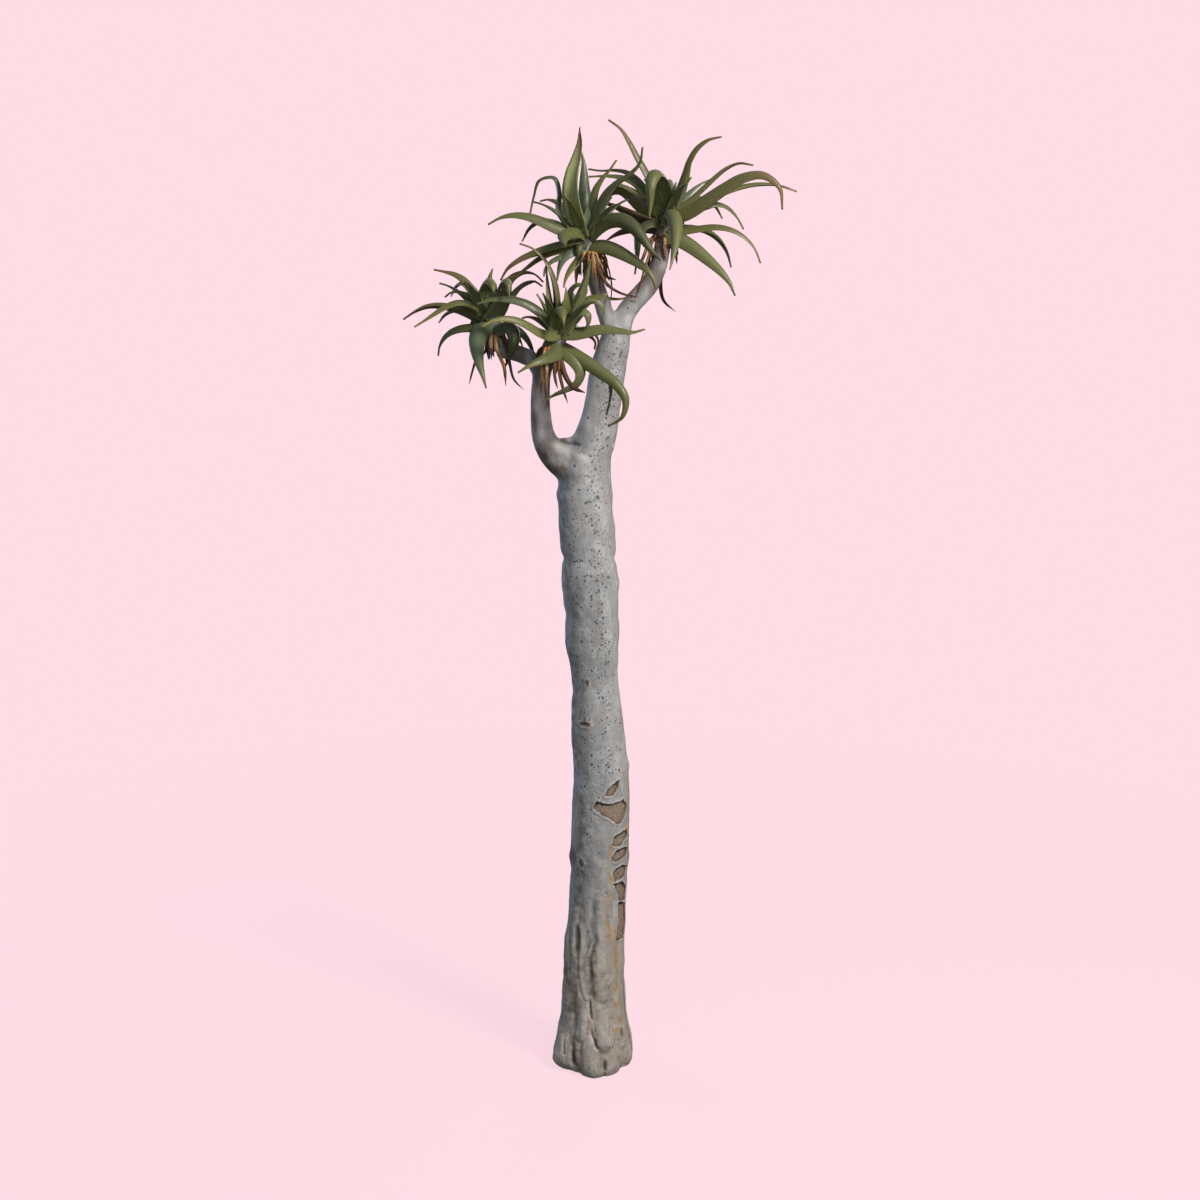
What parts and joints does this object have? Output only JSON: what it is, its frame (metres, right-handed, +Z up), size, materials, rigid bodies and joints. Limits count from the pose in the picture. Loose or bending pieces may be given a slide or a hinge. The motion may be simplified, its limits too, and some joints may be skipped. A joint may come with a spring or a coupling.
{
  "type": "kokerboom tree",
  "caption": "Young kokerboom (quiver tree): bare tapering trunk that forks into smooth boughs, each ending in a crown of arching succulent leaves.",
  "frame": {"origin": "centre of the flat cut under the trunk, at ground level", "axes": "+Z up the trunk; +X along the spread of the crown, towards the right-hand crown; -Y to the side the front crown leans to"},
  "size_m": [1.0297, 0.5229, 2.5843],
  "materials": {
    "bark": "smooth pale grey bark, powdery, with fine folds",
    "leaf": "waxy grey-green succulent leaf with a soft bloom"
  },
  "bodies": {
    "root": {"trunk": "bark", "right_bough": "bark", "right_limb": "bark", "middle_limb": "bark", "left_elbow": "bark", "left_bough": "bark", "left_limb": "bark", "front_crown": "leaf", "middle_crown": "leaf", "left_crown": "leaf", "right_crown": "leaf"}
  },
  "joints": []
}
